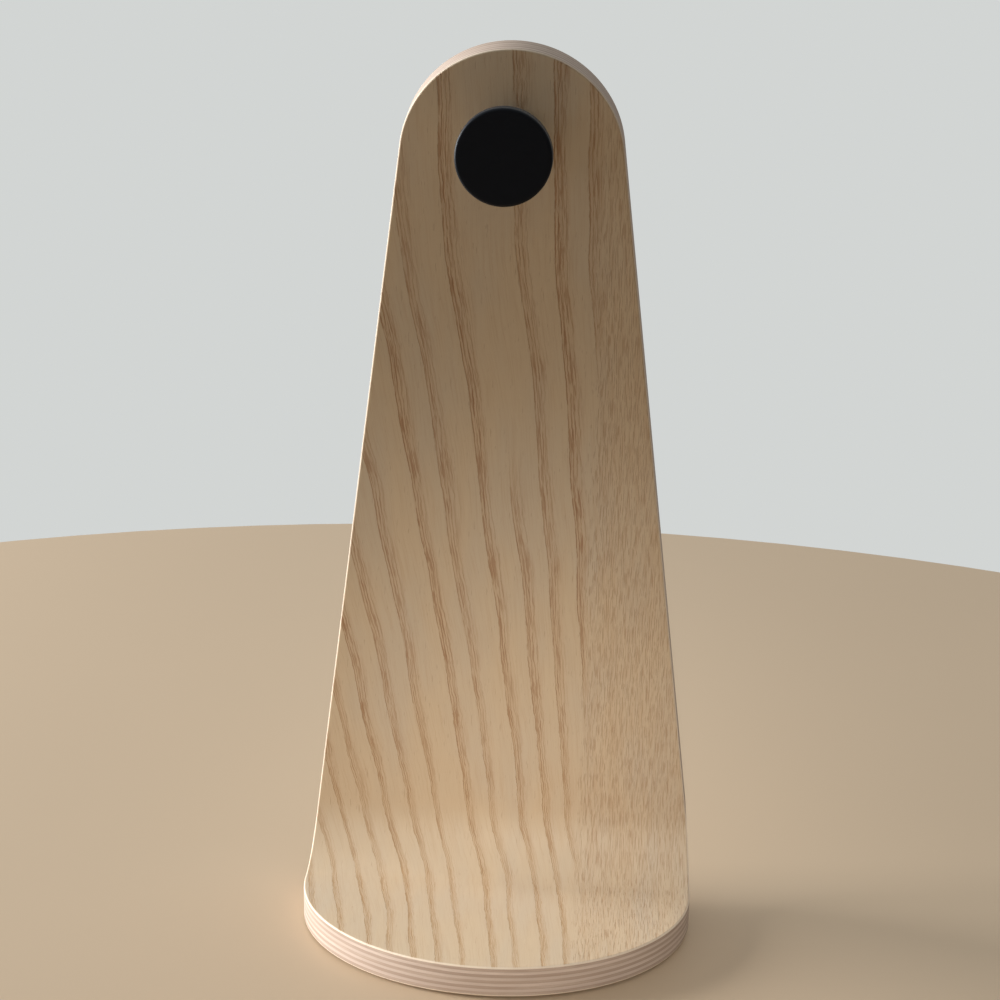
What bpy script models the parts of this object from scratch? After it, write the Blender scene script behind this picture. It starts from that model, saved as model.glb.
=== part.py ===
"""Headphone stand: one bent laminated board with a black peg and end disc.

Eleven veneers are pressed over one bend. They form a flat foot with a bowed front, a tight bend, and a
tapering upright that leans forward over the foot and ends in a half circle. A turned stem stands out
of the upright near its top and carries a larger disc. A screw and a washer, sunk in a counterbore in
the back, hold the stem. Four thin pads lie under the foot.

Frame: +Z up, -Y is the front, +X is the right seen from the front. The origin is under the middle of
the bounding box, on the plane that the pads stand on. Units are metres.
"""
import bpy
import bmesh
from math import acos, atan2, cos, hypot, pi, radians, sin, tan
from mathutils import Matrix, Vector

# Board, seen from the side. Lengths run along its upper and front face from the tip of the foot.
FOOT_LENGTH = 0.057          # flat foot, from its tip to the start of the bend
BEND_RADIUS = 0.018          # inside of the bend
LEAN = radians(10)           # the upright leans forward by this from vertical
UPRIGHT_LENGTH = 0.237       # from the end of the bend to the middle of the round top

# Board, seen flat.
FOOT_WIDTH = 0.134           # the foot is a half ellipse, as deep as the foot is long
TOP_RADIUS = 0.0343

# Lay-up, from the upper and front face to the underside and back.
CORE_COUNT = 9
FACE_THICKNESS = 0.0005
CORE_THICKNESS = 0.00084
GLUE_GAP = 0.0002

# Peg.
PEG_HEIGHT = 0.0068          # stem axis above the middle of the round top, along the front face
PEG_LENGTH = 0.041           # front face of the board to front face of the disc
STEM_RADIUS = 0.009
SPIGOT_RADIUS = 0.004        # turned down end of the stem, inside the disc
SPIGOT_LENGTH = 0.0036
DISC_RADIUS = 0.014
DISC_THICKNESS = 0.006
DISC_EDGE = 0.0008           # rounding of the disc's front edge
CHAMFER = 0.0004

# Screw and washer, measured along the stem axis from the back face of the board.
COUNTERBORE_DEPTH = 0.0045
COUNTERBORE_RADIUS = 0.0056
WASHER_RADIUS = 0.005
WASHER_THICKNESS = 0.001
HEAD_RADIUS = 0.0038
HEAD_HEIGHT = 0.0022
SOCKET_RADIUS = 0.00145
SOCKET_DEPTH = 0.0013
SHANK_RADIUS = 0.002
SHANK_LENGTH = 0.020
SCREW_CLEARANCE = 0.0003
TAPPED_DEPTH = 0.0155        # blind hole in the back end of the stem

# Pads.
PAD_RADIUS = 0.006
PAD_THICKNESS = 0.0007
PAD_PLACES = {"front": (0.028, 0.018), "back": (0.050, 0.050)}   # half spread, distance from the tip

FIT_GAP = 0.0003             # between pieces that seat on each other

# How finely the curves are divided.
BOW_STEPS = 20
BEND_STEPS = 10
TOP_STEPS = 20
ROUND_STEPS = 40

# Worked out from the dimensions above.
LAYER_COUNT = CORE_COUNT + 2
BOARD_THICKNESS = 2 * FACE_THICKNESS + CORE_COUNT * CORE_THICKNESS + (LAYER_COUNT - 1) * GLUE_GAP
UNDERSIDE = PAD_THICKNESS + GLUE_GAP
FOOT_TOP = UNDERSIDE + BOARD_THICKNESS
BEND_ANGLE = pi / 2 + LEAN
BEND_LENGTH = BEND_RADIUS * BEND_ANGLE
BEND_END = FOOT_LENGTH + BEND_LENGTH
TOP_CENTRE = BEND_END + UPRIGHT_LENGTH
SEAT_FROM_TIP = FOOT_LENGTH + BEND_RADIUS * sin(BEND_ANGLE) - (UPRIGHT_LENGTH + PEG_HEIGHT) * sin(LEAN)
DISC_OVERHANG = PEG_LENGTH - SEAT_FROM_TIP      # the disc stands this far in front of the foot's tip
DEPTH = DISC_OVERHANG + FOOT_LENGTH + BEND_RADIUS + BOARD_THICKNESS
TIP_Y = DISC_OVERHANG - DEPTH / 2

# The straight sides leave the widest line smoothly through the bend and touch the round top.
_reach = UPRIGHT_LENGTH + BEND_LENGTH / 2
_half = FOOT_WIDTH / 2
SIDE_ANGLE = acos(TOP_RADIUS / hypot(_half, _reach)) - atan2(_reach, _half)

BOARD_UP = Vector((0, -sin(LEAN), cos(LEAN)))


def board_point(x, along, depth):
    """A point of the board: across, along its front face from the tip, and below that face."""
    if along <= FOOT_LENGTH:
        return Vector((x, TIP_Y + along, FOOT_TOP - depth))
    angle = min((along - FOOT_LENGTH) / BEND_RADIUS, BEND_ANGLE)
    radius = BEND_RADIUS + depth
    y = TIP_Y + FOOT_LENGTH + radius * sin(angle)
    z = FOOT_TOP + BEND_RADIUS - radius * cos(angle)
    return Vector((x, y, z)) + BOARD_UP * max(along - BEND_END, 0)


def board_outline():
    """(distance along, half width) from the tip of the foot to the top of the board."""
    points = []
    for i in range(BOW_STEPS + 1):
        turn = pi / 2 * i / BOW_STEPS
        points.append((FOOT_LENGTH * (1 - cos(turn)), FOOT_WIDTH / 2 * sin(turn)))
    for i in range(1, BEND_STEPS + 1):
        share = i / BEND_STEPS
        narrowing = tan(SIDE_ANGLE) * BEND_LENGTH * share * share / 2
        points.append((FOOT_LENGTH + BEND_LENGTH * share, FOOT_WIDTH / 2 - narrowing))
    for i in range(TOP_STEPS + 1):
        turn = SIDE_ANGLE + (pi / 2 - SIDE_ANGLE) * i / TOP_STEPS
        points.append((TOP_CENTRE + TOP_RADIUS * sin(turn), TOP_RADIUS * cos(turn)))
    return points


def paint(name, color, roughness, metallic=0.0):
    material = bpy.data.materials.new(name)
    material.use_nodes = True
    shader = material.node_tree.nodes["Principled BSDF"]
    shader.inputs["Base Color"].default_value = (*color, 1)
    shader.inputs["Roughness"].default_value = roughness
    shader.inputs["Metallic"].default_value = metallic
    return material


def add_object(name, bm, material, placing=Matrix(), smooth_angle=30):
    """Turn a bmesh into a named object with its faces pointing out."""
    bmesh.ops.recalc_face_normals(bm, faces=bm.faces)
    mesh = bpy.data.meshes.new(name)
    bm.to_mesh(mesh)
    bm.free()
    mesh.materials.append(material)
    mesh.shade_smooth()
    mesh.set_sharp_from_angle(angle=radians(smooth_angle))
    obj = bpy.data.objects.new(name, mesh)
    obj.matrix_world = placing
    bpy.context.collection.objects.link(obj)
    return obj


def bent_layer(name, top, bottom, material):
    """One veneer of the board, between two depths below the front face."""
    bm = bmesh.new()
    rows = []
    for along, half in board_outline():
        sides = (0,) if half < 1e-6 else (-half, half)
        rows.append([[bm.verts.new(board_point(x, along, depth)) for x in sides]
                     for depth in (top, bottom)])
    for (upper, lower), (next_upper, next_lower) in zip(rows, rows[1:]):
        bm.faces.new(upper + next_upper[::-1])
        bm.faces.new(lower + next_lower[::-1])
        for side in (0, -1):
            bm.faces.new((upper[side], lower[side], next_lower[side], next_upper[side]))
    return add_object(name, bm, material)


def turned(name, profile, material, placing, steps=ROUND_STEPS, cut_angle=0.0):
    """A solid turned about its local Z from (radius, height) points.

    A profile that starts and ends on the axis is solid, any other one closes on itself as a ring.
    cut_angle slants the points at height 0, as a mitre at that end.
    """
    bm = bmesh.new()
    rings = []
    for radius, height in profile:
        count = 1 if radius == 0 else steps
        ring = []
        for i in range(count):
            x = radius * cos(2 * pi * i / steps)
            y = radius * sin(2 * pi * i / steps)
            slant = y * tan(cut_angle) if height == 0 else 0
            ring.append(bm.verts.new((x, y, height + slant)))
        rings.append(ring)
    if profile[0][0] > 0:
        rings.append(rings[0])
    for low, high in zip(rings, rings[1:]):
        for i in range(steps):
            j = (i + 1) % steps
            corners = [low[i % len(low)], low[j % len(low)], high[j % len(high)], high[i % len(high)]]
            bm.faces.new(list(dict.fromkeys(corners)))
    return add_object(name, bm, material, placing)


def cutter(name, radius, low, high, placing, steps=24):
    """A hidden cylinder that only cuts holes."""
    obj = turned(name, [(0, low), (radius, low), (radius, high), (0, high)], None, placing, steps)
    obj.hide_render = True
    obj.display_type = "WIRE"
    return obj


def cut(obj, tool):
    boolean = obj.modifiers.new(tool.name, "BOOLEAN")
    boolean.operation = "DIFFERENCE"
    boolean.solver = "EXACT"
    boolean.object = tool


def build_board(ash, cross_ply, long_ply, seat):
    """All the veneers, with the hole for the screw and the counterbore for its head."""
    through = BOARD_THICKNESS / cos(LEAN)
    hole = cutter("screw_hole", SHANK_RADIUS + SCREW_CLEARANCE, -2 * through, through, seat)
    floor = COUNTERBORE_DEPTH - through
    counterbore = cutter("counterbore", COUNTERBORE_RADIUS, -2 * through, floor, seat, ROUND_STEPS)

    top = 0.0
    for layer in range(LAYER_COUNT):
        if layer in (0, LAYER_COUNT - 1):
            name = "face_veneer_front" if layer == 0 else "face_veneer_back"
            thickness, material = FACE_THICKNESS, ash
        else:
            name = f"core_ply_{layer}"
            thickness, material = CORE_THICKNESS, (cross_ply if layer % 2 else long_ply)
        veneer = bent_layer(name, top, top + thickness, material)
        cut(veneer, hole)
        reach = COUNTERBORE_DEPTH + COUNTERBORE_RADIUS * sin(LEAN)
        if top + thickness > BOARD_THICKNESS - reach * cos(LEAN):
            cut(veneer, counterbore)
        top += thickness + GLUE_GAP


def build_peg(black, seat):
    """The stem and the disc, from the front face of the board outwards."""
    bore = SHANK_RADIUS + SCREW_CLEARANCE
    shoulder = PEG_LENGTH - DISC_THICKNESS - 2 * FIT_GAP
    tip = shoulder + SPIGOT_LENGTH
    stem = [(0, TAPPED_DEPTH), (bore, TAPPED_DEPTH), (bore, 0), (STEM_RADIUS, 0),
            (STEM_RADIUS, shoulder - CHAMFER), (STEM_RADIUS - CHAMFER, shoulder),
            (SPIGOT_RADIUS, shoulder), (SPIGOT_RADIUS, tip), (0, tip)]
    turned("stem", stem, black, seat @ Matrix.Translation((0, 0, FIT_GAP)), cut_angle=LEAN)

    back = PEG_LENGTH - DISC_THICKNESS
    pocket = back + SPIGOT_LENGTH
    pocket_radius = SPIGOT_RADIUS + FIT_GAP
    disc = [(0, pocket), (pocket_radius, pocket), (pocket_radius, back), (DISC_RADIUS - CHAMFER, back),
            (DISC_RADIUS, back + CHAMFER)]
    for i in range(5):
        turn = pi / 2 * i / 4
        disc.append((DISC_RADIUS - DISC_EDGE * (1 - cos(turn)), PEG_LENGTH - DISC_EDGE * (1 - sin(turn))))
    disc.append((0, PEG_LENGTH))
    turned("disc", disc, black, seat, steps=56)


def build_fixing(steel, seat):
    """The screw and its washer, in the counterbore."""
    floor = COUNTERBORE_DEPTH - BOARD_THICKNESS / cos(LEAN)
    inner = SHANK_RADIUS + SCREW_CLEARANCE
    washer_top = floor - FIT_GAP
    washer_bottom = washer_top - WASHER_THICKNESS
    washer = [(inner, washer_bottom), (WASHER_RADIUS, washer_bottom),
              (WASHER_RADIUS, washer_top), (inner, washer_top)]
    turned("stem_washer", washer, steel, seat, steps=32)

    under_head = washer_bottom - GLUE_GAP
    head_end = under_head - HEAD_HEIGHT
    edge = HEAD_HEIGHT / 2
    screw = [(0, head_end), (HEAD_RADIUS - edge, head_end)]
    for i in range(1, 4):
        turn = pi / 2 * i / 3
        screw.append((HEAD_RADIUS - edge * (1 - sin(turn)), head_end + edge * (1 - cos(turn))))
    screw += [(HEAD_RADIUS, under_head), (SHANK_RADIUS, under_head),
              (SHANK_RADIUS, under_head + SHANK_LENGTH - CHAMFER),
              (SHANK_RADIUS - CHAMFER, under_head + SHANK_LENGTH), (0, under_head + SHANK_LENGTH)]
    screw = turned("stem_screw", screw, steel, seat, steps=24)
    cut(screw, cutter("socket", SOCKET_RADIUS, head_end - SOCKET_DEPTH, head_end + SOCKET_DEPTH, seat, 6))


def build_pads(felt):
    profile = [(0, 0), (PAD_RADIUS, 0), (PAD_RADIUS, PAD_THICKNESS), (0, PAD_THICKNESS)]
    for row, (spread, from_tip) in PAD_PLACES.items():
        for side, sign in (("left", -1), ("right", 1)):
            place = Matrix.Translation((sign * spread, TIP_Y + from_tip, 0))
            turned(f"foot_pad_{row}_{side}", profile, felt, place, steps=28)


def main():
    for old in list(bpy.data.objects):
        bpy.data.objects.remove(old)
    ash = paint("ash_veneer", (0.66, 0.50, 0.33), 0.5)
    cross_ply = paint("cross_ply", (0.33, 0.21, 0.14), 0.7)
    long_ply = paint("long_ply", (0.62, 0.45, 0.34), 0.65)
    black = paint("black_coating", (0.012, 0.012, 0.013), 0.45, 0.2)
    steel = paint("steel", (0.55, 0.56, 0.58), 0.35, 1.0)
    felt = paint("felt", (0.09, 0.085, 0.08), 0.95)

    # The stem is level. Its frame has Z out to the disc and Y up, from the front face of the board.
    seat = Matrix.Translation(board_point(0, TOP_CENTRE + PEG_HEIGHT, 0)) @ Matrix.Rotation(pi / 2, 4, "X")
    build_board(ash, cross_ply, long_ply, seat)
    build_peg(black, seat)
    build_fixing(steel, seat)
    build_pads(felt)


main()
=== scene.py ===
from math import acos, atan2, cos, hypot, pi, radians, sin, tan

import bmesh
import bpy
from mathutils import Matrix, Vector


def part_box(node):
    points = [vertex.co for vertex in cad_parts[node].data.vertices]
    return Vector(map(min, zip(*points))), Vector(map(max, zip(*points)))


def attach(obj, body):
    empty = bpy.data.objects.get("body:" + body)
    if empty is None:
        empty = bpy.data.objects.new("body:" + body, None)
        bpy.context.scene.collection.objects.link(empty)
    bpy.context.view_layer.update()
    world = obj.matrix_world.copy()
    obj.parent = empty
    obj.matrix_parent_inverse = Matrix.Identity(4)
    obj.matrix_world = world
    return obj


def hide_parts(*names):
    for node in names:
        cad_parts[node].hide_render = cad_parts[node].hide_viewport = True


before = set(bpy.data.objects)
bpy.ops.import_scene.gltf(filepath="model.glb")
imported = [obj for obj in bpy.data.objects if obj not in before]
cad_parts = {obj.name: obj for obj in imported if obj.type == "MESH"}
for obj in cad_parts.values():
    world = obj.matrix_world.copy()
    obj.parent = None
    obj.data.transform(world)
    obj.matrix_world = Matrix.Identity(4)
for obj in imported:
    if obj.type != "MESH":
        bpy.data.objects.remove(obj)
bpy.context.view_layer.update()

MM = 0.001

# Board, seen from the side: the form that the CAD model has.
FOOT_LENGTH = 0.057
BEND_RADIUS = 0.018
LEAN = radians(10)
UPRIGHT_LENGTH = 0.237
FOOT_WIDTH = 0.134
TOP_RADIUS = 0.0343
PEG_HEIGHT = 0.0068
PEG_LENGTH = 0.041

# Lay-up. The plies touch here: each one takes in half of the glue on either side of it.
CORE_COUNT = 9
FACE_THICKNESS = 0.0005
CORE_THICKNESS = 0.00084
GLUE = 0.0002
LAYER_COUNT = CORE_COUNT + 2
BOARD_THICKNESS = 2 * FACE_THICKNESS + CORE_COUNT * CORE_THICKNESS + (LAYER_COUNT - 1) * GLUE
ARRIS = 0.00055              # rounding of the board's two outer edges
ARRIS_STEPS = 4

# Peg, fixing and pads.
STEM_RADIUS = 0.009
STEM_STRAIGHT_FROM = 0.0032  # the stem's slanted end is left behind at this height
SPIGOT_RADIUS = 0.004
SPIGOT_LENGTH = 0.0036
DISC_RADIUS = 0.014
DISC_THICKNESS = 0.006
DISC_EDGE = 0.0008
SMALL_EDGE = 0.0004
COUNTERBORE_DEPTH = 0.0045
COUNTERBORE_RADIUS = 0.0056
WASHER_RADIUS = 0.005
WASHER_THICKNESS = 0.001
HEAD_RADIUS = 0.0038
HEAD_HEIGHT = 0.0022
SOCKET_RADIUS = 0.00145
SOCKET_DEPTH = 0.0013
SHANK_RADIUS = 0.002
SHANK_LENGTH = 0.020
BORE_RADIUS = 0.0023
TAPPED_DEPTH = 0.0155
FIT_GAP = 0.0003

# How finely the curves are divided.
BOW_STEPS = 44
BEND_STEPS = 30
TOP_STEPS = 44
DISC_STEPS = 120
STEM_STEPS = 72
SMALL_STEPS = 64
SCREW_STEPS = 60
HOLE_STEPS = 32
FLOOR_STEPS = 128

# Worked out from the dimensions above and from where the CAD model stands.
FOOT_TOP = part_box("face_veneer_back")[0].z + BOARD_THICKNESS
TIP_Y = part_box("core_ply_1")[0].y
BEND_ANGLE = pi / 2 + LEAN
BEND_LENGTH = BEND_RADIUS * BEND_ANGLE
BEND_END = FOOT_LENGTH + BEND_LENGTH
TOP_CENTRE = BEND_END + UPRIGHT_LENGTH
_reach = UPRIGHT_LENGTH + BEND_LENGTH / 2
_half = FOOT_WIDTH / 2
SIDE_ANGLE = acos(TOP_RADIUS / hypot(_half, _reach)) - atan2(_reach, _half)
BEND_CENTRE = Vector((0, TIP_Y + FOOT_LENGTH, FOOT_TOP + BEND_RADIUS))
BOARD_UP = Vector((0, -sin(LEAN), cos(LEAN)))
BOARD_BACK = Vector((0, cos(LEAN), sin(LEAN)))


# ---------------------------------------------------------------- board

def board_point(x, along, depth):
    """A point of the board: across, along its front face from the tip, and below that face."""
    if along <= FOOT_LENGTH:
        return Vector((x, TIP_Y + along, FOOT_TOP - depth))
    angle = min((along - FOOT_LENGTH) / BEND_RADIUS, BEND_ANGLE)
    radius = BEND_RADIUS + depth
    point = BEND_CENTRE + Vector((x, radius * sin(angle), -radius * cos(angle)))
    return point + BOARD_UP * max(along - BEND_END, 0)


def board_place(point):
    """The inverse of board_point: (across, along, depth) of a point of the board."""
    from_centre = point - BEND_CENTRE
    climb = from_centre.dot(BOARD_UP)
    if climb > 0:
        return point.x, BEND_END + climb, from_centre.dot(BOARD_BACK) - BEND_RADIUS
    if from_centre.y <= 0:
        return point.x, point.y - TIP_Y, FOOT_TOP - point.z
    angle = atan2(from_centre.y, -from_centre.z)
    return point.x, FOOT_LENGTH + BEND_RADIUS * angle, hypot(from_centre.y, from_centre.z) - BEND_RADIUS


def board_outline():
    """(half width, distance along) from the tip of the foot to the top of the board."""
    points = []
    for i in range(BOW_STEPS + 1):
        turn = pi / 2 * i / BOW_STEPS
        points.append((FOOT_WIDTH / 2 * sin(turn), FOOT_LENGTH * (1 - cos(turn))))
    for i in range(1, BEND_STEPS + 1):
        share = i / BEND_STEPS
        narrowing = tan(SIDE_ANGLE) * BEND_LENGTH * share * share / 2
        points.append((FOOT_WIDTH / 2 - narrowing, FOOT_LENGTH + BEND_LENGTH * share))
    for i in range(TOP_STEPS + 1):
        turn = SIDE_ANGLE + (pi / 2 - SIDE_ANGLE) * i / TOP_STEPS
        points.append((TOP_RADIUS * cos(turn), TOP_CENTRE + TOP_RADIUS * sin(turn)))
    return points


def inset_outline(outline, inset):
    """The same outline moved inwards, square to itself."""
    moved = []
    last = len(outline) - 1
    for i, (half, along) in enumerate(outline):
        if i in (0, last):
            moved.append((0.0, along + (inset if i == 0 else -inset)))
            continue
        before, after = outline[i - 1], outline[i + 1]
        step = hypot(after[0] - before[0], after[1] - before[1])
        moved.append((half - inset * (after[1] - before[1]) / step,
                      along + inset * (after[0] - before[0]) / step))
    return moved


def make_object(name, bm, material):
    """A closed bmesh as an object."""
    bmesh.ops.recalc_face_normals(bm, faces=bm.faces)
    mesh = bpy.data.meshes.new(name)
    bm.to_mesh(mesh)
    bm.free()
    mesh.materials.append(material)
    obj = bpy.data.objects.new(name, mesh)
    bpy.context.scene.collection.objects.link(obj)
    return obj


def shade(obj, sharp):
    """Smooth shading, broken at edges that turn by more than sharp degrees."""
    obj.data.shade_smooth()
    obj.data.set_sharp_from_angle(angle=radians(sharp))


def belong(obj, slot, *nodes):
    """obj is a piece of the stand that stands for CAD nodes. slot, the name of its finish, is not used.
    """
    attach(obj, "root")
    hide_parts(*nodes)


def ply(name, profile, material):
    """One ply of the board, closed. profile is (inset, depth) from its upper to its lower face."""
    outline = board_outline()
    bm = bmesh.new()
    levels = []
    for inset, depth in profile:
        rows = []
        for half, along in inset_outline(outline, inset):
            sides = (0.0,) if half < 1e-6 else (-half, half)
            rows.append([bm.verts.new(board_point(x, along, depth)) for x in sides])
        levels.append(rows)
    for rows in (levels[0], levels[-1]):
        for row, after in zip(rows, rows[1:]):
            bm.faces.new(row + after[::-1])
    for upper, lower in zip(levels, levels[1:]):
        for i in range(len(outline) - 1):
            for side in (0, -1):
                bm.faces.new((upper[i][side], lower[i][side], lower[i + 1][side], upper[i + 1][side]))
    return make_object(name, bm, material)


def cut(obj, *tools):
    """Cuts the tools out of obj and keeps the result as its mesh."""
    for tool in tools:
        boolean = obj.modifiers.new("cut", "BOOLEAN")
        boolean.operation = "DIFFERENCE"
        boolean.solver = "EXACT"
        boolean.object = tool
    bpy.context.view_layer.update()
    evaluated = obj.evaluated_get(bpy.context.evaluated_depsgraph_get())
    mesh = bpy.data.meshes.new_from_object(evaluated)
    obj.modifiers.clear()
    old = obj.data
    obj.data = mesh
    bpy.data.meshes.remove(old)
    mesh.name = obj.name


def keep_faces_flat(mesh):
    """Sharp edges where a ply's wide face meets its rounded edge, so that the wide face shades flat."""
    wide = [abs(polygon.normal.x) < 1e-4 for polygon in mesh.polygons]
    touching = {}
    for polygon in mesh.polygons:
        for key in polygon.edge_keys:
            touching.setdefault(key, set()).add(wide[polygon.index])
    for edge in mesh.edges:
        if len(touching[tuple(sorted(edge.vertices))]) == 2:
            edge.use_edge_sharp = True


def mark_grain(mesh):
    """Stores where each vertex lies in the unbent board: across, along and depth, in metres."""
    grain = mesh.attributes.new("grain", "FLOAT_VECTOR", "POINT")
    for vertex, value in zip(mesh.vertices, grain.data):
        value.vector = board_place(vertex.co)


def arris(depth, direction):
    """Profile points of a rounded outer edge, from the wide face to the rim."""
    points = []
    for i in range(ARRIS_STEPS + 1):
        turn = pi / 2 * i / ARRIS_STEPS
        points.append((ARRIS * (1 - sin(turn)), depth + direction * ARRIS * (1 - cos(turn))))
    return points


def build_board(materials, seat):
    """Every ply, with the hole for the screw and the counterbore for its head."""
    through = BOARD_THICKNESS / cos(LEAN)
    floor = COUNTERBORE_DEPTH - through
    hole = turned("hole", [(0, -2 * through), (BORE_RADIUS, -2 * through), (BORE_RADIUS, through),
                           (0, through)], None, seat, HOLE_STEPS)
    sink = turned("sink", [(0, -2 * through), (COUNTERBORE_RADIUS, -2 * through),
                           (COUNTERBORE_RADIUS, floor), (0, floor)], None, seat, SMALL_STEPS)
    sunk_from = BOARD_THICKNESS - (COUNTERBORE_DEPTH + COUNTERBORE_RADIUS * sin(LEAN)) * cos(LEAN)
    last = LAYER_COUNT - 1
    for layer in range(LAYER_COUNT):
        top = FACE_THICKNESS + GLUE / 2 + (layer - 1) * (CORE_THICKNESS + GLUE)
        bottom = top + CORE_THICKNESS + GLUE
        if layer == 0:
            name, material, slot = "face_veneer_front", "front", "ash_veneer"
            profile = [*arris(0, 1), (0, bottom)]
        elif layer == last:
            name, material, slot = "face_veneer_back", "back", "ash_veneer"
            bottom = BOARD_THICKNESS
            profile = [(0, top), *arris(bottom, -1)[::-1]]
        else:
            name = f"core_ply_{layer}"
            slot = "cross_ply" if layer % 2 else "long_ply"
            material = slot
            profile = [(0, top), (0, bottom)]
        piece = ply(name.replace("core_ply", "ply").replace("face_veneer", "veneer"), profile,
                    materials[material])
        cut(piece, *([hole, sink] if bottom > sunk_from else [hole]))
        shade(piece, 30)
        keep_faces_flat(piece.data)
        mark_grain(piece.data)
        belong(piece, slot, name)
    for tool in (hole, sink):
        bpy.data.objects.remove(tool)


# ---------------------------------------------------------------- turned pieces

def corner(radius, height, edge, rising, steps=6):
    """Profile points round a convex corner, from the side to the end if rising and back if not."""
    points = []
    for i in range(steps + 1):
        turn = pi / 2 * i / steps
        points.append((radius - edge * (1 - cos(turn)), height - edge * (1 - sin(turn))))
    return points if rising else points[::-1]


def flipped(points, height):
    """Profile points mirrored end for end about a height."""
    return [(radius, 2 * height - z) for radius, z in points]


def turned(name, profile, material, placing, steps, cut_angle=0.0):
    """A solid turned about its local Z from (radius, height) points.

    A profile that starts and ends on the axis is solid, any other one closes on itself as a ring.
    cut_angle slants the points at height 0, as a mitre at that end.
    """
    bm = bmesh.new()
    rings = []
    for radius, height in profile:
        ring = []
        for i in range(1 if radius == 0 else steps):
            x = radius * cos(2 * pi * i / steps)
            y = radius * sin(2 * pi * i / steps)
            slant = y * tan(cut_angle) if height == 0 else 0
            ring.append(bm.verts.new(placing @ Vector((x, y, height + slant))))
        rings.append(ring)
    if profile[0][0] > 0:
        rings.append(rings[0])
    for low, high in zip(rings, rings[1:]):
        for i in range(steps):
            j = (i + 1) % steps
            corners = [low[i % len(low)], low[j % len(low)], high[j % len(high)], high[i % len(high)]]
            bm.faces.new(list(dict.fromkeys(corners)))
    return make_object(name, bm, material)


def build_peg(black, seat):
    """The stem and the disc, from the front face of the board outwards."""
    shoulder = PEG_LENGTH - DISC_THICKNESS - 2 * FIT_GAP
    tip = shoulder + SPIGOT_LENGTH
    stem = [(0, TAPPED_DEPTH), (BORE_RADIUS, TAPPED_DEPTH), (BORE_RADIUS, 0), (STEM_RADIUS, 0),
            (STEM_RADIUS, STEM_STRAIGHT_FROM), *corner(STEM_RADIUS, shoulder, SMALL_EDGE, True),
            (SPIGOT_RADIUS, shoulder), (SPIGOT_RADIUS, tip), (0, tip)]
    placing = seat @ Matrix.Translation((0, 0, FIT_GAP))
    stem = turned("stem_turned", stem, black, placing, STEM_STEPS, LEAN)
    shade(stem, 30)
    belong(stem, "black_coating", "stem")

    back = PEG_LENGTH - DISC_THICKNESS
    pocket = back + SPIGOT_LENGTH
    pocket_radius = SPIGOT_RADIUS + FIT_GAP
    flat = DISC_RADIUS - 2 * DISC_EDGE
    disc = [(0, pocket), (pocket_radius, pocket), (pocket_radius, back), (flat, back),
            *flipped(corner(DISC_RADIUS, back, SMALL_EDGE, False), back),
            *corner(DISC_RADIUS, PEG_LENGTH, DISC_EDGE, True, 8), (flat, PEG_LENGTH), (0, PEG_LENGTH)]
    disc = turned("disc_turned", disc, black, seat, DISC_STEPS)
    shade(disc, 30)
    belong(disc, "black_coating", "disc")


def build_fixing(steel, seat):
    """The screw and its washer, in the counterbore."""
    floor = COUNTERBORE_DEPTH - BOARD_THICKNESS / cos(LEAN)
    top = floor - FIT_GAP
    bottom = top - WASHER_THICKNESS
    edge = WASHER_THICKNESS / 6
    washer = [(BORE_RADIUS, bottom), (WASHER_RADIUS - 3 * edge, bottom),
              *flipped(corner(WASHER_RADIUS, bottom, edge, False, 3), bottom),
              *corner(WASHER_RADIUS, top, edge, True, 3), (WASHER_RADIUS - 3 * edge, top),
              (BORE_RADIUS, top)]
    washer = turned("washer_turned", washer, steel, seat, SMALL_STEPS)
    shade(washer, 35)
    belong(washer, "steel", "stem_washer")

    under_head = bottom - GLUE
    head_end = under_head - HEAD_HEIGHT
    edge = HEAD_HEIGHT / 2
    screw = [(0, head_end), (SOCKET_RADIUS * 1.3, head_end),
             *flipped(corner(HEAD_RADIUS, head_end, edge, False), head_end),
             (HEAD_RADIUS, under_head), (SHANK_RADIUS, under_head),
             *corner(SHANK_RADIUS, under_head + SHANK_LENGTH, SMALL_EDGE, True, 3),
             (0, under_head + SHANK_LENGTH)]
    screw = turned("screw_turned", screw, steel, seat, SCREW_STEPS)
    socket = turned("socket", [(0, head_end - SOCKET_DEPTH), (SOCKET_RADIUS, head_end - SOCKET_DEPTH),
                               (SOCKET_RADIUS, head_end + SOCKET_DEPTH), (0, head_end + SOCKET_DEPTH)],
                    None, seat, 6)
    cut(screw, socket)
    bpy.data.objects.remove(socket)
    shade(screw, 35)
    belong(screw, "steel", "stem_screw")


def build_pads(felt):
    """The four pads, each a disc of felt the size of its CAD node, with a soft uneven edge."""
    for row in ("front", "back"):
        for side in ("left", "right"):
            node = f"foot_pad_{row}_{side}"
            low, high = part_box(node)
            middle = (low + high) / 2
            radius = (high.x - low.x) / 2
            profile = [(0, 0), (radius * 0.9, 0), (radius * 0.98, high.z * 0.15), (radius, high.z * 0.5),
                       (radius * 0.985, high.z * 0.9), (radius * 0.9, high.z), (0, high.z)]
            placing = Matrix.Translation((middle.x, middle.y, 0))
            pad = turned(f"felt_{row}_{side}", profile, felt, placing, SMALL_STEPS)
            shade(pad, 60)
            belong(pad, "felt", node)


# ---------------------------------------------------------------- materials

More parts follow.
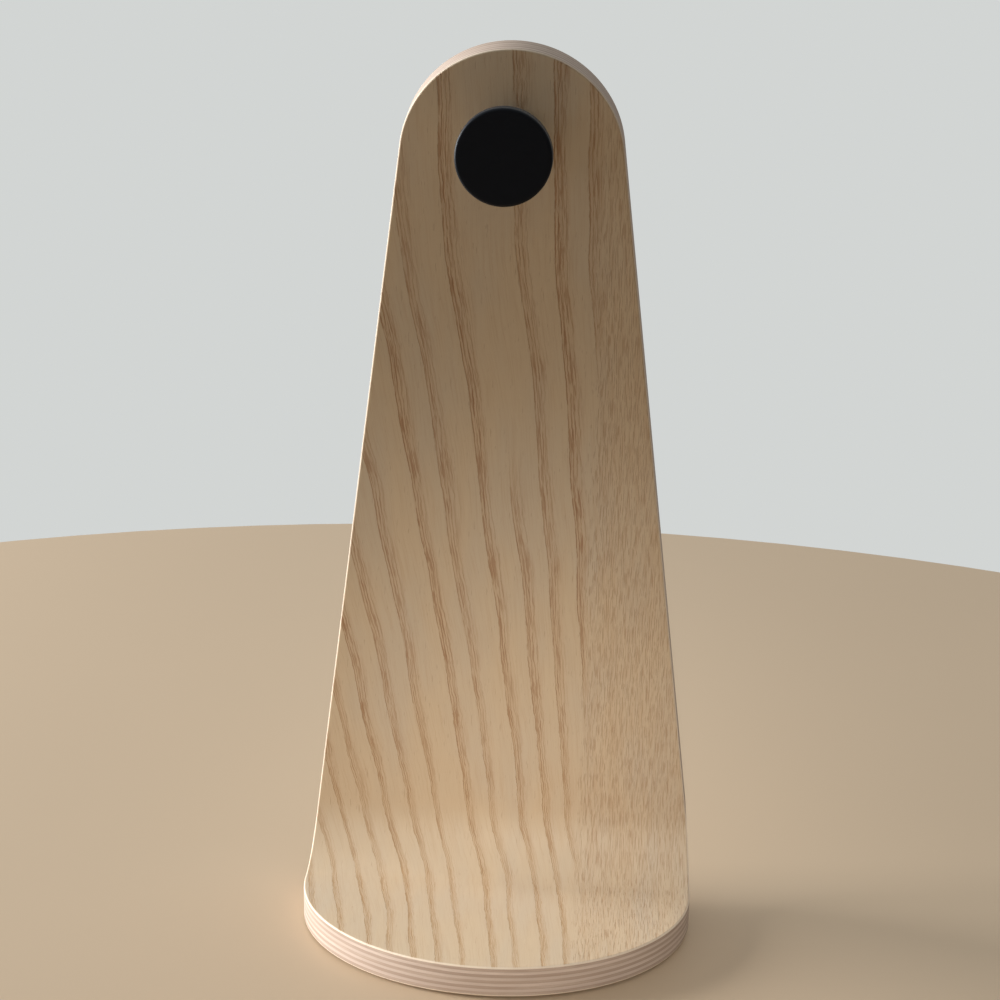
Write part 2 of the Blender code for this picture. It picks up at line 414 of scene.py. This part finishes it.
class Graph:
    """The nodes of a material or of the world, and short ways to add to them."""

    def __init__(self, owner, shader="Principled BSDF"):
        owner.use_nodes = True
        self.owner = owner
        self.tree = owner.node_tree
        self.shader = self.tree.nodes[shader]

    def plug(self, socket, value):
        if isinstance(value, bpy.types.NodeSocket):
            self.tree.links.new(value, socket)
        else:
            socket.default_value = value

    def add(self, kind, inputs, **settings):
        node = self.tree.nodes.new(kind)
        for name, value in settings.items():
            setattr(node, name, value)
        for key, value in inputs.items():
            self.plug(node.inputs[key], value)
        return node

    def math(self, operation, *values):
        return self.add("ShaderNodeMath", dict(enumerate(values)), operation=operation).outputs[0]

    def step(self, value, start, end, low=0.0, high=1.0):
        """Smoothly from low to high while value goes from start to end."""
        inputs = {"Value": value, "From Min": start, "From Max": end, "To Min": low, "To Max": high}
        return self.add("ShaderNodeMapRange", inputs, interpolation_type="SMOOTHSTEP").outputs["Result"]

    def vector(self, x, y, z=0.0):
        return self.add("ShaderNodeCombineXYZ", {"X": x, "Y": y, "Z": z}).outputs[0]

    def stretched(self, x, y, across, along, seed=0.0):
        """Coordinates for a noise whose features are about across by along, in the units of x and y."""
        return self.vector(self.math("DIVIDE", x, across), self.math("DIVIDE", y, along), seed)

    def layered(self, x, y, z, wide, thick):
        """Coordinates for a noise of flat features, wide along x and y and thick along z."""
        sizes = ((x, wide), (y, wide), (z, thick))
        return self.vector(*(self.math("DIVIDE", value, size) for value, size in sizes))

    def noise(self, vector, detail=2.0, roughness=0.5, scale=1.0):
        inputs = {"Vector": vector, "Scale": scale, "Detail": detail, "Roughness": roughness}
        return self.add("ShaderNodeTexNoise", inputs).outputs[0]

    def mix(self, share, first, second):
        """A colour that goes from first to second while share goes from 0 to 1."""
        node = self.add("ShaderNodeMix", {0: share}, data_type="RGBA")
        for socket, value in ((node.inputs[6], first), (node.inputs[7], second)):
            self.plug(socket, value if isinstance(value, bpy.types.NodeSocket) else (*value, 1))
        return node.outputs[2]

    def pick(self, share, first, second):
        """A number that goes from first to second while share goes from 0 to 1."""
        return self.add("ShaderNodeMix", {0: share, 2: first, 3: second}).outputs[0]

    def bump(self, height, distance, strength):
        node = self.add("ShaderNodeBump", {"Strength": strength, "Distance": distance, "Height": height})
        self.plug(self.shader.inputs["Normal"], node.outputs[0])

    def finish(self, colour, roughness, **constants):
        self.plug(self.shader.inputs["Base Color"], colour)
        self.plug(self.shader.inputs["Roughness"], roughness)
        for name, value in constants.items():
            self.shader.inputs[name.replace("_", " ")].default_value = value
        return self.owner


# Growth rings of the face veneer, by their places at the foot. They fan out from a line beside the
# board. Lengths are millimetres in the unbent veneer, to the right and up from the tip of the foot.
RING_FOCUS = 76.7            # the rings fan out from this far to the right of the middle
RING_SPREAD = 0.0015         # share by which they part for every millimetre up the board
RING_TOP = 322               # about from here up they run straight
RING_TOP_BLEND = 45
RING_SHIFT = 3.3             # sideways step of the rings where the board bends
SHIFT_SPAN = (60, 88)        # the step lies between these heights
FRONT_RINGS = (-58, -50, -41.5, -34.5, -27.3, -19.8, -11.7, -1.5, 5.6, 14.8, 22.3, 29, 36.4, 43.3)
BACK_RINGS = (-55, -43, -36, -24, -15, -9, 3, 11, 22, 31, 38, 52, 61, 70)
LINE_HALF = 0.18
# The dark lines of a ring: middle, how far it wanders, weight.
RING_LINES = ((0.3, 0.25, 1.0), (1.0, 0.7, 0.8), (1.75, 1.0, 0.65), (2.6, 1.4, 0.5))
SHORT_RING = 10              # this ring of the front dies out half way up
SHORT_RING_END = (190, 240)
FOOT_SQUEEZE = 0.72          # width of the rings at the foot, as a share of what it is higher up
SQUEEZE_SPAN = (40, 200)
WAVES = 3.0                  # size of the slow waves of the rings
FOOT_JAGS = 1.3              # size of their fine waves at the foot, and on the upright
UPRIGHT_JAGS = 0.45
JAG_SPAN = (70, 200)
PLAIN_FROM = 27.0            # right of this the wood has fine flecks and no bold rings
PLAIN_BLEND = 6.0
PLAIN_RINGS = 0.12           # strength of the rings there
EASED_HIGHLIGHT_SPAN = (0.02, 0.12)    # the pale sanded edge, partly a painted highlight, begins this far from the outer face

CREAM = (0.665, 0.525, 0.365)
CREAM_GREY = (0.635, 0.52, 0.385)
TAN = (0.52, 0.335, 0.19)
BROWN = (0.345, 0.17, 0.08)
OCHRE = (0.40, 0.225, 0.095)   # takes the place of brown at the foot
OCHRE_SPAN = (40, 170)
EASED_AND_HIGHLIGHT = (0.82, 0.70, 0.57)   # fresh wood on the sanded edge, made paler also as a painted highlight along the rounded edge

# How strongly each feature of the veneer is coloured, and how deep it lies in the relief.
ZONE_SHARE = 0.30
FIBRE_SHARE = 0.30
STREAK_SHARE = 0.68
LINE_SHARE = 0.70
STRIPE_SHARE = 0.17
PORE_SHARE = 0.40
# strength of the pale sanded edge, which is partly a painted highlight
EASED_HIGHLIGHT_SHARE = 0.8
RELIEF = {"streak": 0.6, "pore": 0.7, "line": 0.6, "fibre": 0.25, "stripe": 0.4}
RELIEF_DEPTH = 0.00007


def ash(name, rings, short_ring, face, seed):
    """Flat sawn ash: pale wood, bold porous rings with a sharp left side, and a finely flecked part.

    face is the depth of the veneer's outer face. Away from it the edge is sanded and painted paler, as
    sanded wood and as a painted highlight.
    """
    g = Graph(bpy.data.materials.new(name))
    place = g.add("ShaderNodeAttribute", {}, attribute_name="grain").outputs["Vector"]
    parts = g.add("ShaderNodeSeparateXYZ", {"Vector": place}).outputs
    x = g.math("DIVIDE", parts["X"], MM)
    y = g.math("DIVIDE", parts["Y"], MM)

    # Where the ring through this point lies at the foot.
    climb = g.math("SMOOTH_MIN", y, RING_TOP, RING_TOP_BLEND)
    parting = g.math("EXPONENT", g.math("MULTIPLY", climb, -RING_SPREAD))
    from_focus = g.math("MULTIPLY", g.math("SUBTRACT", RING_FOCUS, x), parting)
    across = g.math("SUBTRACT", RING_FOCUS, from_focus)
    across = g.math("SUBTRACT", across, g.step(y, *SHIFT_SPAN, RING_SHIFT, 0))
    slow = g.noise(g.stretched(x, y, 22, 45, seed), 1)
    jag = g.noise(g.stretched(x, y, 5, 4, seed + 3), 3, 0.65)
    jag_size = g.step(y, *JAG_SPAN, FOOT_JAGS, UPRIGHT_JAGS)
    across = g.math("ADD", across, g.math("MULTIPLY", g.math("SUBTRACT", slow, 0.5), WAVES))
    across = g.math("ADD", across, g.math("MULTIPLY", g.math("SUBTRACT", jag, 0.5), jag_size))

    # Distance to the right of the nearest ring line on the left, and that ring's strength.
    past, strength = g.math("SUBTRACT", across, rings[0]), 0.8
    for i, ring in enumerate(rings[1:], 1):
        beyond = g.math("SUBTRACT", across, ring)
        reached = g.math("GREATER_THAN", beyond, 0)
        past = g.pick(reached, past, beyond)
        force = 0.88 + 0.12 * sin(2.4 * i + seed)
        if i == short_ring:
            force = g.step(y, *SHORT_RING_END, force, 0)
        strength = g.pick(reached, strength, force)
    past = g.math("DIVIDE", past, g.step(y, *SQUEEZE_SPAN, FOOT_SQUEEZE, 1))
    plain = g.step(g.math("ADD", x, g.math("MULTIPLY", slow, 5)), PLAIN_FROM, PLAIN_FROM + PLAIN_BLEND)
    strength = g.math("MULTIPLY", strength, g.step(plain, 0, 1, 1, PLAIN_RINGS))

    # Each ring: a tan ground that fades to the right, broken dark lines, and streaks.
    fade = g.noise(g.stretched(across, y, 7, 30, seed + 5), 1)
    width = g.math("MULTIPLY_ADD", fade, 6.5, 1.2)
    zone = g.math("MULTIPLY", g.step(past, 0, 0.5), g.step(g.math("DIVIDE", past, width), 0.2, 1, 1, 0))
    zone = g.math("MULTIPLY", zone, strength)
    lines = 0.0
    for i, (middle, wander, weight) in enumerate(RING_LINES):
        drift = g.noise(g.stretched(x, y, 9, 8, seed + 20 + i), 2, 0.6)
        off = g.math("SUBTRACT", past, g.math("MULTIPLY_ADD", drift, wander, middle - wander / 2))
        line = g.step(g.math("ABSOLUTE", off), LINE_HALF * 0.4, LINE_HALF, weight, 0)
        broken = g.step(g.noise(g.stretched(x, y, 3, 6, seed + 30 + i), 2, 0.6), 0.34, 0.50, 0.25, 1)
        lines = g.math("MAXIMUM", lines, g.math("MULTIPLY", line, broken))
    lines = g.math("MULTIPLY", lines, strength)
    streak = g.step(g.noise(g.stretched(across, y, 0.33, 12, seed + 9), 2, 0.6), 0.50, 0.60)
    streak = g.math("MULTIPLY", streak, zone)
    fibre = g.noise(g.stretched(across, y, 0.3, 22, seed + 11), 3, 0.65)

    # Short pores, few on the whole board and dense in the plain part, with pale brown stripes there.
    pore = g.noise(g.stretched(x, y, 0.34, 7.5, seed + 13), 2, 0.6)
    pore = g.step(g.math("SUBTRACT", pore, g.pick(plain, 0.66, 0.52)), 0, 0.07)
    stripe = g.noise(g.stretched(x, y, 1.5, 16, seed + 17), 2, 0.55)
    stripe = g.math("MULTIPLY", g.step(stripe, 0.45, 0.62), g.step(plain, 0, 1, 0.25, 1))

    cloud = g.noise(g.stretched(x, y, 16, 60, seed + 15), 2)
    colour = g.mix(g.step(cloud, 0.35, 0.7), CREAM, CREAM_GREY)
    colour = g.mix(g.math("MULTIPLY", zone, ZONE_SHARE), colour, TAN)
    colour = g.mix(g.math("MULTIPLY", g.step(fibre, 0.45, 0.72), FIBRE_SHARE), colour, TAN)
    ring_colour = g.mix(g.step(y, *OCHRE_SPAN), OCHRE, BROWN)
    colour = g.mix(g.math("MULTIPLY", streak, STREAK_SHARE), colour, ring_colour)
    colour = g.mix(g.math("MULTIPLY", lines, LINE_SHARE), colour, ring_colour)
    colour = g.mix(g.math("MULTIPLY", stripe, STRIPE_SHARE), colour, TAN)
    colour = g.mix(g.math("MULTIPLY", pore, PORE_SHARE), colour, BROWN)
    below = g.math("DIVIDE", g.math("ABSOLUTE", g.math("SUBTRACT", parts["Z"], face)), MM)
    # Pale sanded wood on the rounded edge, partly a painted highlight along it.
    colour = g.mix(g.step(below, *EASED_HIGHLIGHT_SPAN, 0, EASED_HIGHLIGHT_SHARE), colour, EASED_AND_HIGHLIGHT)

    hollow = 0.0
    features = {"streak": streak, "pore": pore, "line": lines, "fibre": fibre, "stripe": stripe}
    for feature, value in features.items():
        hollow = g.math("MULTIPLY_ADD", value, -RELIEF[feature], hollow)
    g.bump(hollow, RELIEF_DEPTH, 0.8)
    return g.finish(colour, g.step(fibre, 0.3, 0.7, 0.5, 0.62), Specular_IOR_Level=0.25)


CROSS_PLY = ((0.56, 0.435, 0.355), (0.40, 0.295, 0.23))   # the light and the dark wood of a ply
LONG_PLY = ((0.68, 0.56, 0.475), (0.53, 0.42, 0.345))
GLUE_BROWN = (0.26, 0.16, 0.11)
GLUE_SHARE = 0.14


def ply_edge(name, light, dark, seed):
    """A core ply, seen at the rim: streaks along it, fine end grain, and dark glue on both sides."""
    g = Graph(bpy.data.materials.new(name))
    place = g.add("ShaderNodeAttribute", {}, attribute_name="grain").outputs["Vector"]
    parts = g.add("ShaderNodeSeparateXYZ", {"Vector": place}).outputs
    x, y, z = (g.math("DIVIDE", parts[axis], MM) for axis in "XYZ")
    drawn = g.noise(g.layered(x, y, z, 9, 0.3), 3, 0.6)
    broad = g.noise(g.layered(x, y, z, 30, 1.6), 1)
    fine = g.noise(g.layered(x, y, z, 0.5, 0.25), 2)
    pitch = (CORE_THICKNESS + GLUE) / MM
    layer = g.math("DIVIDE", g.math("SUBTRACT", z, (FACE_THICKNESS + GLUE / 2) / MM), pitch)
    own = g.noise(g.vector(g.math("FLOOR", layer), g.math("DIVIDE", x, 70), seed), 0, 0.5, 1.7)
    darker = ((own, 0.3, 0.7, 0.6), (broad, 0.35, 0.65, 0.6),
              (drawn, 0.35, 0.7, 0.7), (fine, 0.5, 0.75, 0.3))
    colour = light
    for value, start, end, share in darker:
        colour = g.mix(g.math("MULTIPLY", g.step(value, start, end), share), colour, dark)
    glue = g.step(g.math("PINGPONG", layer, 0.5), 0.03, 0.12, 1, 0)
    colour = g.mix(g.math("MULTIPLY", glue, GLUE_SHARE), colour, GLUE_BROWN)
    g.bump(g.math("SUBTRACT", g.math("MULTIPLY", fine, 0.8), glue), 0.00002, 0.6)
    return g.finish(colour, g.step(fine, 0.3, 0.7, 0.58, 0.7), Specular_IOR_Level=0.35)


BLACK = ((0.0022, 0.0042, 0.0085), (0.0035, 0.0058, 0.0115))
ZINC = ((0.50, 0.51, 0.53), (0.66, 0.66, 0.66))
WOOL = ((0.05, 0.048, 0.045), (0.13, 0.125, 0.12))


def black_coating():
    """Matt black powder coat with a fine orange peel."""
    g = Graph(bpy.data.materials.new("black_coating"))
    place = g.add("ShaderNodeTexCoord", {}).outputs["Object"]
    peel = g.noise(place, 3, 0.55, 2600)
    tone = g.noise(place, 2, 0.5, 300)
    colour = g.mix(tone, *BLACK)
    g.bump(peel, 0.00003, 0.5)
    return g.finish(colour, g.step(peel, 0.3, 0.7, 0.40, 0.50), Specular_IOR_Level=0.22)


def steel():
    """Zinc plated steel with a fine grain."""
    g = Graph(bpy.data.materials.new("steel"))
    place = g.add("ShaderNodeTexCoord", {}).outputs["Object"]
    grain = g.noise(place, 4, 0.6, 2200)
    tone = g.noise(place, 2, 0.5, 350)
    colour = g.mix(tone, *ZINC)
    g.bump(grain, 0.00002, 0.4)
    return g.finish(colour, g.step(grain, 0.3, 0.7, 0.25, 0.42), Metallic=1.0)


def felt():
    """Dark wool felt: matted fibres."""
    g = Graph(bpy.data.materials.new("felt"))
    place = g.add("ShaderNodeTexCoord", {}).outputs["Object"]
    fibres = g.noise(place, 5, 0.75, 1800)
    colour = g.mix(fibres, *WOOL)
    g.bump(fibres, 0.0002, 0.9)
    return g.finish(colour, g.step(fibres, 0.3, 0.7, 0.88, 1.0), Sheen_Weight=0.3)


# ---------------------------------------------------------------- stage, light and camera

FLOOR_COLOUR = (0.56, 0.425, 0.29)
FLOOR_RADIUS = 0.655
FLOOR_THICKNESS = 0.02
FLOOR_MIDDLE_Y = -0.19
WALL = (0.645, 0.665, 0.655)
WARM = (0.75, 0.56, 0.38)    # colour of the room's light where it is dim
FRONT_DIM = 0.085            # strength of the room's light from in front and below
WALL_FROM = 0.4              # light of this strength and more has the wall's colour
# Where the room is brighter: axis of the direction, where the rise starts and ends, and how much.
ROOM = (("Y", -0.1, 0.6, 0.5), ("Z", 0.0, 0.9, 0.48), ("X", 0.0, -0.9, 0.3))

KEY_PLACE = (-2.3, 0.22, 0.60)
KEY_TARGET = (0, 0, 0.12)
KEY_SIZE = 1.1
KEY_POWER = 108
KEY_COLOUR = (0.98, 0.99, 1.0)
POOLS = (("pool_left", -0.036, 29), ("pool_right", 0.036, 37))   # name, distance from the middle, power
POOL_PLACE = (-0.95, 0.48)   # forward and up
POOL_TARGET = (0.03, 0.032)
POOL_ANGLE = radians(9)
POOL_SOFTNESS = 0.1
POOL_COLOUR = (1, 0.95, 0.89)

CAMERA_PLACE = (0.0354, -0.6455, 0.3557)
CAMERA_YAW = radians(-3.24)
CAMERA_PITCH = radians(17.06)
CAMERA_ROLL = radians(1.44)
LENS = 76.2


def build_stage():
    """A plain pale round floor."""
    g = Graph(bpy.data.materials.new("floor"))
    place = g.add("ShaderNodeTexCoord", {}).outputs["Object"]
    tone = g.noise(place, 3, 0.5, 6)
    colour = g.mix(tone, FLOOR_COLOUR, [c * 0.96 for c in FLOOR_COLOUR])
    floor = [(0, -FLOOR_THICKNESS), (FLOOR_RADIUS, -FLOOR_THICKNESS), (FLOOR_RADIUS, 0), (0, 0)]
    placing = Matrix.Translation((0, FLOOR_MIDDLE_Y, 0))
    turned("floor", floor, g.finish(colour, 0.55), placing, FLOOR_STEPS)


def add_light(name, kind, place, target, power, colour, **settings):
    """A light that looks at a target. It isn't seen by the camera."""
    data = bpy.data.lights.new(name, kind)
    data.energy = power
    data.color = colour
    for setting, value in settings.items():
        setattr(data, setting, value)
    obj = bpy.data.objects.new(name, data)
    obj.location = place
    obj.rotation_euler = (Vector(target) - Vector(place)).to_track_quat("-Z", "Y").to_euler()
    obj.visible_camera = False
    bpy.context.scene.collection.objects.link(obj)


def build_light():
    """A soft room, bright behind and above and warm and dim in front, a key from the left and two pools
    of light from the front on the bend.
    """
    world = bpy.data.worlds.new("studio")
    bpy.context.scene.world = world
    g = Graph(world, "Background")
    direction = g.add("ShaderNodeTexCoord", {}).outputs["Generated"]
    parts = g.add("ShaderNodeSeparateXYZ", {"Vector": direction}).outputs
    strength = FRONT_DIM
    for axis, start, end, amount in ROOM:
        strength = g.math("ADD", strength, g.step(parts[axis], start, end, 0, amount))
    colour = g.mix(g.step(strength, FRONT_DIM, WALL_FROM), WARM, WALL)
    seen = g.add("ShaderNodeLightPath", {}).outputs["Is Camera Ray"]
    g.plug(g.shader.inputs["Color"], g.mix(seen, colour, WALL))
    g.plug(g.shader.inputs["Strength"], g.pick(seen, strength, 1.0))
    add_light("key", "AREA", KEY_PLACE, KEY_TARGET, KEY_POWER, KEY_COLOUR, size=KEY_SIZE)
    for name, x, power in POOLS:
        add_light(name, "SPOT", (x, *POOL_PLACE), (x, *POOL_TARGET), power, POOL_COLOUR,
                  spot_size=POOL_ANGLE, spot_blend=1, shadow_soft_size=POOL_SOFTNESS)
    bpy.context.scene.view_settings.view_transform = "Standard"


def build_camera():
    data = bpy.data.cameras.new("camera")
    data.lens = LENS
    data.clip_start = 0.05
    obj = bpy.data.objects.new("camera", data)
    turn = Matrix.Rotation(-CAMERA_YAW, 4, "Z") @ Matrix.Rotation(pi / 2 - CAMERA_PITCH, 4, "X")
    obj.matrix_world = Matrix.Translation(CAMERA_PLACE) @ turn @ Matrix.Rotation(CAMERA_ROLL, 4, "Z")
    bpy.context.scene.collection.objects.link(obj)
    bpy.context.scene.camera = obj


def main():
    seat_point = board_point(0, TOP_CENTRE + PEG_HEIGHT, 0)
    seat = Matrix.Translation(seat_point) @ Matrix.Rotation(pi / 2, 4, "X")
    plies = {
        "front": ash("ash_front", FRONT_RINGS, SHORT_RING, 0.0, 4.0),
        "back": ash("ash_back", BACK_RINGS, None, BOARD_THICKNESS, 40.0),
        "cross_ply": ply_edge("cross_ply", *CROSS_PLY, 1.0),
        "long_ply": ply_edge("long_ply", *LONG_PLY, 2.0),
    }
    build_board(plies, seat)
    build_peg(black_coating(), seat)
    build_fixing(steel(), seat)
    build_pads(felt())
    build_stage()
    build_light()
    build_camera()


main()
